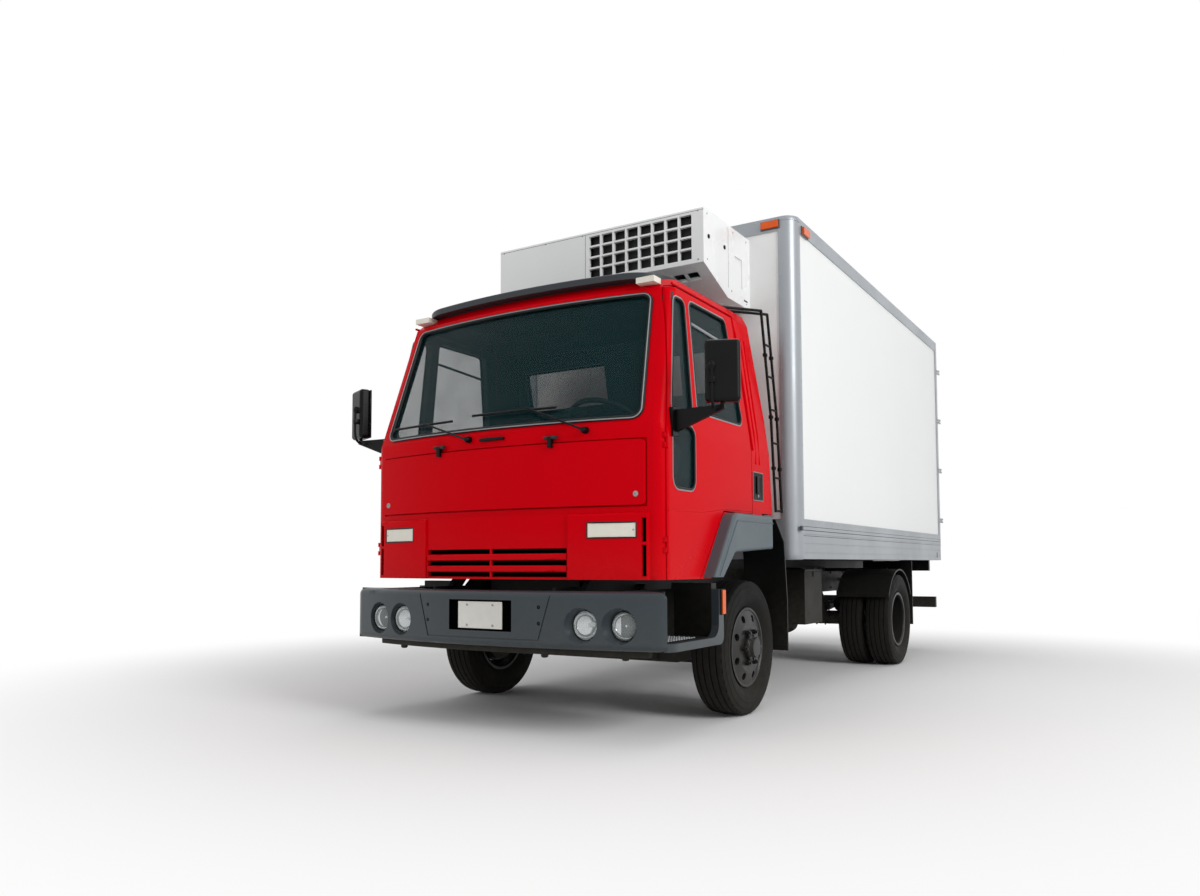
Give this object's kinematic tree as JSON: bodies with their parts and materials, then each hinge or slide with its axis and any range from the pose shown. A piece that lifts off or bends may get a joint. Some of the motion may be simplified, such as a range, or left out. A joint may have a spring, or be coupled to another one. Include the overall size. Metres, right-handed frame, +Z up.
{
  "type": "refrigerated truck",
  "caption": "Light refrigerated truck with a tilting forward-control cab, bowed front, insulated load box with rear doors and a cooling unit on its front wall",
  "frame": {"origin": "on the ground under the middle of the overall box", "axes": "+Z up, front towards -Y, left side at +X"},
  "size_m": [2.753, 6.34, 3.244],
  "materials": {
    "red_paint": "gloss",
    "white_panel": "satin",
    "aluminium": "brushed",
    "chassis_black": "satin",
    "black_metal": "satin",
    "cast_grey": "rough",
    "steel": "dull",
    "slate_plastic": "matte",
    "grey_plastic": "matte",
    "black_plastic": "matte",
    "lamp_glass": "clear",
    "lamp_cream": "gloss",
    "lamp_orange": "gloss",
    "lamp_red": "gloss",
    "seat_fabric": "woven",
    "glass": "clear",
    "tyre": "matte",
    "rim_black": "satin"
  },
  "bodies": {
    "chassis": {"chassis_frame": "chassis_black", "front_axle": "cast_grey", "rear_axle": "cast_grey", "engine": "cast_grey", "exhaust": "steel", "tanks": "chassis_black", "front_bumper": "slate_plastic", "headlamps": "lamp_glass", "entry_steps": "black_plastic", "step_sills": "grey_plastic", "marker_lamps": "lamp_orange", "mudguards": "black_plastic", "box_subframe": "chassis_black", "box_shell": "white_panel", "box_rails": "aluminium", "fridge_housing": "white_panel", "fridge_coil": "black_plastic", "rear_lamps": "lamp_red"},
    "cab": {"cab_shell": "red_paint", "cab_glass": "glass", "roof_board": "grey_plastic", "front_panel": "red_paint", "turn_lamps": "lamp_cream", "arch_flares": "grey_plastic", "dashboard": "black_plastic", "seats": "seat_fabric", "wipers": "black_plastic", "access_ladder": "black_metal"},
    "front_flap": {"front_flap": "red_paint"},
    "cab_door_left": {"cab_door_left": "red_paint", "door_glass_left": "glass", "mirror_left": "black_plastic"},
    "cab_door_right": {"cab_door_right": "red_paint", "door_glass_right": "glass", "mirror_right": "black_plastic"},
    "rear_door_left": {"rear_door_left": "white_panel", "rear_lock_left": "steel"},
    "rear_door_right": {"rear_door_right": "white_panel", "rear_lock_right": "steel"},
    "knuckle_left": {"knuckle_left": "cast_grey"},
    "knuckle_right": {"knuckle_right": "cast_grey"},
    "track_rod": {"track_rod": "cast_grey"},
    "front_wheel_left": {"front_tyre_left": "tyre", "front_rim_left": "rim_black"},
    "front_wheel_right": {"front_tyre_right": "tyre", "front_rim_right": "rim_black"},
    "rear_wheel_left": {"rear_tyres_left": "tyre", "rear_rims_left": "rim_black"},
    "rear_wheel_right": {"rear_tyres_right": "tyre", "rear_rims_right": "rim_black"}
  },
  "joints": [
    {"name": "cab_tilt", "type": "hinge", "parent": "chassis", "child": "cab", "pos_m": [0, -3.01, 0.56], "axis": [1, 0, 0], "range_deg": [0, 45]},
    {"name": "front_flap_hinge", "type": "hinge", "parent": "cab", "child": "front_flap", "pos_m": [0, -3.06084, 1.576], "axis": [-1, 0, 0], "range_deg": [0, 80]},
    {"name": "cab_door_left_hinge", "type": "hinge", "parent": "cab", "child": "cab_door_left", "pos_m": [1.01, -2.897, 1.24], "axis": [0, 0, -1], "range_deg": [0, 70]},
    {"name": "cab_door_right_hinge", "type": "hinge", "parent": "cab", "child": "cab_door_right", "pos_m": [-1.01, -2.897, 1.24], "axis": [0, 0, 1], "range_deg": [0, 70]},
    {"name": "rear_door_left_hinge", "type": "hinge", "parent": "chassis", "child": "rear_door_left", "pos_m": [1.125, 3.15, 2.14], "axis": [0, 0, -1], "range_deg": [0, 250]},
    {"name": "rear_door_right_hinge", "type": "hinge", "parent": "chassis", "child": "rear_door_right", "pos_m": [-1.125, 3.15, 2.14], "axis": [0, 0, 1], "range_deg": [0, 250]},
    {"name": "steer_left", "type": "hinge", "parent": "chassis", "child": "knuckle_left", "pos_m": [0.775, -1.88, 0.402], "axis": [0, 0, 1], "range_deg": [-35, 35]},
    {"name": "steer_right", "type": "hinge", "parent": "chassis", "child": "knuckle_right", "pos_m": [-0.775, -1.88, 0.402], "axis": [0, 0, 1], "range_deg": [-35, 35]},
    {"name": "track_rod_eye", "type": "hinge", "parent": "knuckle_left", "child": "track_rod", "pos_m": [0.775, -1.71, 0.286], "axis": [0, 0, 1], "range_deg": [-35, 35]},
    {"name": "front_wheel_left_spin", "type": "hinge", "parent": "knuckle_left", "child": "front_wheel_left", "pos_m": [0.925, -1.88, 0.402], "axis": [1, 0, 0], "continuous": true},
    {"name": "front_wheel_right_spin", "type": "hinge", "parent": "knuckle_right", "child": "front_wheel_right", "pos_m": [-0.925, -1.88, 0.402], "axis": [1, 0, 0], "continuous": true},
    {"name": "rear_wheel_left_spin", "type": "hinge", "parent": "chassis", "child": "rear_wheel_left", "pos_m": [0.872, 1.42, 0.402], "axis": [1, 0, 0], "continuous": true},
    {"name": "rear_wheel_right_spin", "type": "hinge", "parent": "chassis", "child": "rear_wheel_right", "pos_m": [-0.872, 1.42, 0.402], "axis": [1, 0, 0], "continuous": true}
  ],
  "couplings": [
    {"joint": "steer_right", "follows": "steer_left", "ratio": 1},
    {"joint": "track_rod_eye", "follows": "steer_left", "ratio": -1}
  ]
}
